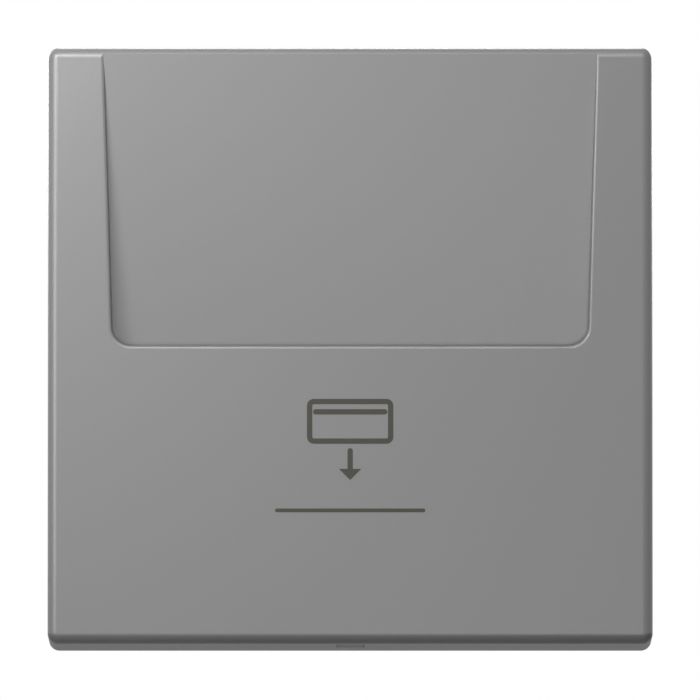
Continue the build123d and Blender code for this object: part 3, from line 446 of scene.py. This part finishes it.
class CARDSWITCH_OT_stage(bpy.types.Operator):
    """Camera, lamps, world and floor"""

    bl_idname = "cardswitch.stage"
    bl_label = "Studio"

    def execute(self, context):
        scene = context.scene
        sizes = scene.card_switch_sizes
        lens = bpy.data.cameras.new("camera")
        lens.sensor_width = CAMERA_SENSOR
        lens.lens = CAMERA_LENS
        camera = bpy.data.objects.new("camera", lens)
        camera.location = CAMERA_PLACE
        camera.rotation_euler = (radians(90), 0, 0)
        scene.collection.objects.link(camera)
        scene.camera = camera
        scene.view_settings.view_transform = "Standard"

        for name, place, side, power in LAMPS:
            self.lamp(context, name, place, side, power)
        self.world(context)
        self.floor(context, sizes.floor_drop)
        return {"FINISHED"}

    def lamp(self, context, name, place, side, power):
        """A soft square lamp that looks at the origin and is not seen itself."""
        light = bpy.data.lights.new(name, "AREA")
        light.shape = "SQUARE"
        light.size = side
        light.energy = power
        lamp = bpy.data.objects.new(name, light)
        lamp.location = place
        lamp.rotation_euler = (-Vector(place)).to_track_quat("-Z", "Y").to_euler()
        lamp.visible_camera = False
        context.scene.collection.objects.link(lamp)

    def seen(self, tree):
        """One for the rays that see the background: camera, glossy and transmission rays."""
        path = tree.nodes.new("ShaderNodeLightPath")
        value = path.outputs["Is Camera Ray"]
        for ray in ("Is Glossy Ray", "Is Transmission Ray"):
            either = tree.nodes.new("ShaderNodeMath")
            either.operation = "MAXIMUM"
            tree.links.new(value, either.inputs[0])
            tree.links.new(path.outputs[ray], either.inputs[1])
            value = either.outputs["Value"]
        return value

    def glow_with_painted_shade(self, surface):
        """The floor's paleness, with painted shade: it is less in a soft pool round the object."""
        distance = surface.nodes.new("ShaderNodeVectorMath")
        distance.operation = "LENGTH"
        surface.links.new(surface.place, distance.inputs[0])
        # Painted shade: the floor's glow falls off towards the object, a darker pool standing in for
        # shade round it
        painted_shade_fade = surface.nodes.new("ShaderNodeMapRange")
        painted_shade_fade.interpolation_type = "SMOOTHSTEP"
        painted_shade_fade.inputs["From Min"].default_value = FLOOR_SHADE_POOL[0]
        painted_shade_fade.inputs["From Max"].default_value = FLOOR_SHADE_POOL[1]
        painted_shade_fade.inputs["To Min"].default_value = FLOOR_SHADED_SHARE
        surface.links.new(distance.outputs["Value"], painted_shade_fade.inputs["Value"])
        strength = surface.nodes.new("ShaderNodeMath")
        strength.operation = "MULTIPLY"
        surface.links.new(painted_shade_fade.outputs["Result"], strength.inputs[0])
        surface.links.new(self.seen(surface.material.node_tree), strength.inputs[1])
        return strength.outputs["Value"]

    def world(self, context):
        """White behind the object, with no light of its own on it."""
        world = bpy.data.worlds.new("studio")
        world.use_nodes = True
        tree = world.node_tree
        backdrop = tree.nodes["Background"]
        backdrop.inputs["Color"].default_value = (1, 1, 1, 1)
        tree.links.new(self.seen(tree), backdrop.inputs["Strength"])
        context.scene.world = world

    def floor(self, context, drop):
        """A pale floor that keeps the object's shadow, with painted shade in a soft pool round the
        object.
        """
        bm = bmesh.new()
        half = FLOOR_HALF
        outline = [(-half, -half), (half, -half), (half, half), (-half, half)]
        bm.faces.new([bm.verts.new((x, y, -drop)) for x, y in outline])
        mesh = bpy.data.meshes.new("floor")
        bm.to_mesh(mesh)
        bm.free()
        plain = bpy.data.objects.new("floor", mesh)
        context.scene.collection.objects.link(plain)
        surface = Surface("floor_paper", 0.9, specular=0.1)
        surface.tint(surface.noise(0.05), FLOOR_COLOUR, 0.01)
        surface.set("Emission Color", (FLOOR_PALE, FLOOR_PALE, FLOOR_PALE, 1))
        # The floor's glow carries painted shade: it is dimmer in a pool round the object
        surface.links.new(self.glow_with_painted_shade(surface), surface.shader.inputs["Emission Strength"])
        mesh.materials.append(surface.material)


class CARDSWITCH_OT_cover(bpy.types.Operator):
    """Lacquer of the front cover"""

    bl_idname = "cardswitch.cover"
    bl_label = "Cover"

    def execute(self, context):
        scene = context.scene
        paint(lacquer("satin_lacquer", scene.card_switch_colours.cover), "front_cover")
        return {"FINISHED"}


class CARDSWITCH_OT_mark(bpy.types.Operator):
    """Printed mark: a card, an arrow down and a plain line"""

    bl_idname = "cardswitch.mark"
    bl_label = "Printed mark"

    def execute(self, context):
        scene = context.scene
        lift = scene.card_switch_sizes.ink
        line = scene.card_switch_sizes.line
        ink = printed("mark_ink", scene.card_switch_colours.mark)
        bm = bmesh.new()
        ink_frame(bm, (0, CARD_HEIGHT), CARD_HALF_WIDTH, CARD_HALF_HEIGHT, CARD_CORNER, line, lift)
        ink_bar(bm, (0, STRIPE_HEIGHT), STRIPE_LENGTH, line, lift)
        ink_arrow(bm, ARROW_TOP, ARROW_TIP, ARROW_HEAD, line, lift)
        ink_bar(bm, (0, UNDERLINE_HEIGHT), UNDERLINE_LENGTH, line * UNDERLINE_SHARE, lift)
        mesh = bpy.data.meshes.new("printed_mark")
        bm.to_mesh(mesh)
        bm.free()
        new_piece("printed_mark", "cover", ink, mesh)
        return {"FINISHED"}


class CARDSWITCH_OT_guide(bpy.types.Operator):
    """Finishes of the card guide, its screws and the lever's axle"""

    bl_idname = "cardswitch.guide"
    bl_label = "Card guide"

    def execute(self, context):
        colours = context.scene.card_switch_colours
        paint(moulding("guide_plastic", colours.guide, 0.5), "card_guide")
        paint(plated("guide_screw_zinc", colours.zinc, 0.3), "guide_screws")
        paint(plated("axle_steel", PIN_STEEL, 0.2), "lever_axle")
        return {"FINISHED"}


class CARDSWITCH_OT_lever(bpy.types.Operator):
    """Finishes of the card lever and the plunger"""

    bl_idname = "cardswitch.lever"
    bl_label = "Lever and plunger"

    def execute(self, context):
        colours = context.scene.card_switch_colours
        paint(moulding("lever_plastic", colours.lever, 0.4), "card_lever")
        paint(moulding("plunger_plastic", colours.plunger, 0.35), "plunger")
        return {"FINISHED"}


class CARDSWITCH_OT_springs(bpy.types.Operator):
    """Plunger spring, carried with the wall insert, and lever spring, as copies of the model's springs
    """

    bl_idname = "cardswitch.springs"
    bl_label = "Springs"

    def execute(self, context):
        wire = plated("spring_wire", WIRE_STEEL, 0.25)
        coil = spring_piece("plunger_coil", "plunger_spring", wire)
        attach(coil, "wall_insert")
        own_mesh(coil)
        legs = spring_piece("lever_coil", "lever_spring", wire)
        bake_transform(legs)
        return {"FINISHED"}


class CARDSWITCH_OT_yoke(bpy.types.Operator):
    """Zinc-plated sheet of the yoke and the screws of the insert"""

    bl_idname = "cardswitch.yoke"
    bl_label = "Yoke"

    def execute(self, context):
        colours = context.scene.card_switch_colours
        paint(rolled("yoke_zinc", colours.zinc, 0.32, (1.0, 1.0, 0.08)), "support_yoke")
        paint(plated("insert_screw_zinc", colours.zinc, 0.28), "insert_screws")
        return {"FINISHED"}


class CARDSWITCH_OT_housing(bpy.types.Operator):
    """Moulded cap and housing of the insert"""

    bl_idname = "cardswitch.housing"
    bl_label = "Housing"

    def execute(self, context):
        colours = context.scene.card_switch_colours
        paint(moulding("cap_plastic", colours.cap, 0.42), "insert_cap")
        paint(moulding("housing_plastic", colours.housing, 0.5), "insert_base")
        return {"FINISHED"}


class CARDSWITCH_OT_contacts(bpy.types.Operator):
    """Brass rails, contact arm and silver rivets"""

    bl_idname = "cardswitch.contacts"
    bl_label = "Contacts"

    def execute(self, context):
        colours = context.scene.card_switch_colours
        brass = rolled("rail_brass", colours.brass, 0.3, (1.0, 1.0, 0.1))
        paint(brass, "closed_rail", "open_rail", "common_rail")
        paint(rolled("arm_brass", ARM_BRONZE, 0.26, (1.0, 1.0, 0.1)), "contact_arm")
        silver = plated("contact_silver", colours.silver, 0.3)
        paint(silver, "moving_contact", "closed_contact", "open_contact")
        paint(plated("pin_steel", PIN_STEEL, 0.2), "contact_pin")
        return {"FINISHED"}


class CARDSWITCH_OT_terminals(bpy.types.Operator):
    """Clamp springs and the wire release buttons"""

    bl_idname = "cardswitch.terminals"
    bl_label = "Terminals"

    def execute(self, context):
        colours = context.scene.card_switch_colours
        steel = rolled("clamp_steel", STRIP_STEEL, 0.22, (1.0, 0.1, 1.0))
        orange = moulding("button_plastic", colours.button, 0.4)
        for name, (along, sign, offset) in CLAMP_LINES.items():
            paint(orange, "release_button_" + name)
            strip = spring_piece(name + "_clamp_strip", "clamp_spring_" + name, steel)
            start, end = [0.0, 0.0, 0.0], [0.0, 0.0, 0.0]
            start[along] = sign * (offset + CLAMP_LEG_START)
            end[along] = sign * (offset + CLAMP_BEND_END)
            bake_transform(strip)
        return {"FINISHED"}


class CARDSWITCH_OT_claws(bpy.types.Operator):
    """Claws with their pins and nuts"""

    bl_idname = "cardswitch.claws"
    bl_label = "Claws"

    def execute(self, context):
        colours = context.scene.card_switch_colours
        sheet = rolled("claw_zinc", colours.zinc, 0.34, (1.0, 0.1, 1.0))
        pin = plated("claw_pin_zinc", colours.zinc, 0.25)
        nut = plated("nut_brass", colours.brass, 0.3)
        for side in ("right", "left"):
            paint(sheet, "claw_" + side)
            paint(pin, "claw_pin_" + side)
            paint(nut, "claw_nut_" + side)
        return {"FINISHED"}


class CARDSWITCH_OT_claw_screws(bpy.types.Operator):
    """Claw screws with their thread, rounded head and driver slot"""

    bl_idname = "cardswitch.claw_screws"
    bl_label = "Claw screws"

    def execute(self, context):
        sizes = context.scene.card_switch_sizes
        zinc = plated("claw_screw_zinc", context.scene.card_switch_colours.zinc, 0.26)
        for side in ("right", "left"):
            node = "claw_screw_" + side
            low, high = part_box(node)
            axis = ((low[0] + high[0]) / 2, (low[2] + high[2]) / 2)
            mesh = self.screw(sizes, axis, low[1], high[1], (high[0] - low[0]) / 2)
            piece = new_piece(side + "_threaded_screw", "screw_" + side, zinc, mesh)
            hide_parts(node)
        return {"FINISHED"}

    def screw(self, sizes, axis, front, end, head_radius):
        """One screw: a slotted head with a rounded edge, and a threaded shank behind it."""
        seat = front + SCREW_HEAD
        edge = SCREW_HEAD_ROUND
        bm = bmesh.new()
        profile = [(head_radius * HEAD_MIDDLE, front)]
        for k in range(ROUND_RINGS + 1):
            turn = pi / 2 * k / ROUND_RINGS
            profile.append((head_radius - edge + edge * sin(turn), front + edge - edge * cos(turn)))
        profile.append((head_radius, seat))
        lathe(bm, axis, profile, HEAD_CORNERS)
        head = bpy.data.meshes.new("head")
        bm.to_mesh(head)
        bm.free()
        head = self.slotted(head, sizes, axis, front, head_radius)
        bm = bmesh.new()
        bm.from_mesh(head)
        bpy.data.meshes.remove(head)
        start = seat - SCREW_HEAD / 4
        thread = thread_profile(start, end, SCREW_RADIUS, sizes.thread_depth, sizes.thread_pitch)
        lathe(bm, axis, thread, SHANK_CORNERS)
        mesh = bpy.data.meshes.new("threaded_screw")
        bm.to_mesh(mesh)
        bm.free()
        for polygon in mesh.polygons:
            polygon.use_smooth = True
        mesh.set_sharp_from_angle(angle=SHARP_EDGE)
        return mesh

    def slotted(self, head, sizes, axis, front, head_radius):
        """The head with the driver slot cut across it."""
        half, depth, reach = sizes.slot_width / 2, sizes.slot_depth, 2 * head_radius
        bm = bmesh.new()
        bmesh.ops.create_cube(bm, size=1.0)
        for vert in bm.verts:
            x, y, z = vert.co
            vert.co = (axis[0] + 2 * x * reach, front + 2 * y * depth, axis[1] + 2 * z * half)
        block = bpy.data.meshes.new("slot_block")
        bm.to_mesh(block)
        bm.free()
        collection = bpy.context.scene.collection
        body = bpy.data.objects.new("head", head)
        cutter = bpy.data.objects.new("slot_block", block)
        collection.objects.link(body)
        collection.objects.link(cutter)
        cut = body.modifiers.new("slot", "BOOLEAN")
        cut.operation = "DIFFERENCE"
        cut.solver = "EXACT"
        cut.object = cutter
        bpy.context.view_layer.update()
        depsgraph = bpy.context.evaluated_depsgraph_get()
        done = bpy.data.meshes.new_from_object(body.evaluated_get(depsgraph))
        for leftover, mesh in ((body, head), (cutter, block)):
            bpy.data.objects.remove(leftover)
            bpy.data.meshes.remove(mesh)
        return done


OPERATORS = (
    CARDSWITCH_OT_stage,
    CARDSWITCH_OT_cover,
    CARDSWITCH_OT_mark,
    CARDSWITCH_OT_guide,
    CARDSWITCH_OT_lever,
    CARDSWITCH_OT_springs,
    CARDSWITCH_OT_yoke,
    CARDSWITCH_OT_housing,
    CARDSWITCH_OT_contacts,
    CARDSWITCH_OT_terminals,
    CARDSWITCH_OT_claws,
    CARDSWITCH_OT_claw_screws,
)


class CARDSWITCH_PT_panel(bpy.types.Panel):
    """Sizes, colours and the steps that make the switch's looks"""

    bl_idname = "CARDSWITCH_PT_panel"
    bl_label = "Key Card Switch"
    bl_space_type = "VIEW_3D"
    bl_region_type = "UI"
    bl_category = "Card Switch"

    def draw(self, context):
        layout = self.layout
        for group in (context.scene.card_switch_sizes, context.scene.card_switch_colours):
            column = layout.column()
            for name in group.__annotations__:
                column.prop(group, name)
        for operator in OPERATORS:
            layout.operator(operator.bl_idname)


CLASSES = (CardSwitchColours, CardSwitchSizes) + OPERATORS + (CARDSWITCH_PT_panel,)


def register():
    """Adds the classes and their settings on the scene."""
    for cls in CLASSES:
        bpy.utils.register_class(cls)
    bpy.types.Scene.card_switch_colours = bpy.props.PointerProperty(type=CardSwitchColours)
    bpy.types.Scene.card_switch_sizes = bpy.props.PointerProperty(type=CardSwitchSizes)


def unregister():
    """Takes the settings and the classes off again."""
    del bpy.types.Scene.card_switch_sizes
    del bpy.types.Scene.card_switch_colours
    for cls in reversed(CLASSES):
        bpy.utils.unregister_class(cls)


def main():
    """Makes the whole scene."""
    register()
    bpy.ops.cardswitch.stage()
    bpy.ops.cardswitch.cover()
    bpy.ops.cardswitch.mark()
    bpy.ops.cardswitch.guide()
    bpy.ops.cardswitch.lever()
    bpy.ops.cardswitch.springs()
    bpy.ops.cardswitch.yoke()
    bpy.ops.cardswitch.housing()
    bpy.ops.cardswitch.contacts()
    bpy.ops.cardswitch.terminals()
    bpy.ops.cardswitch.claws()
    bpy.ops.cardswitch.claw_screws()


if __name__ == "__main__":
    main()
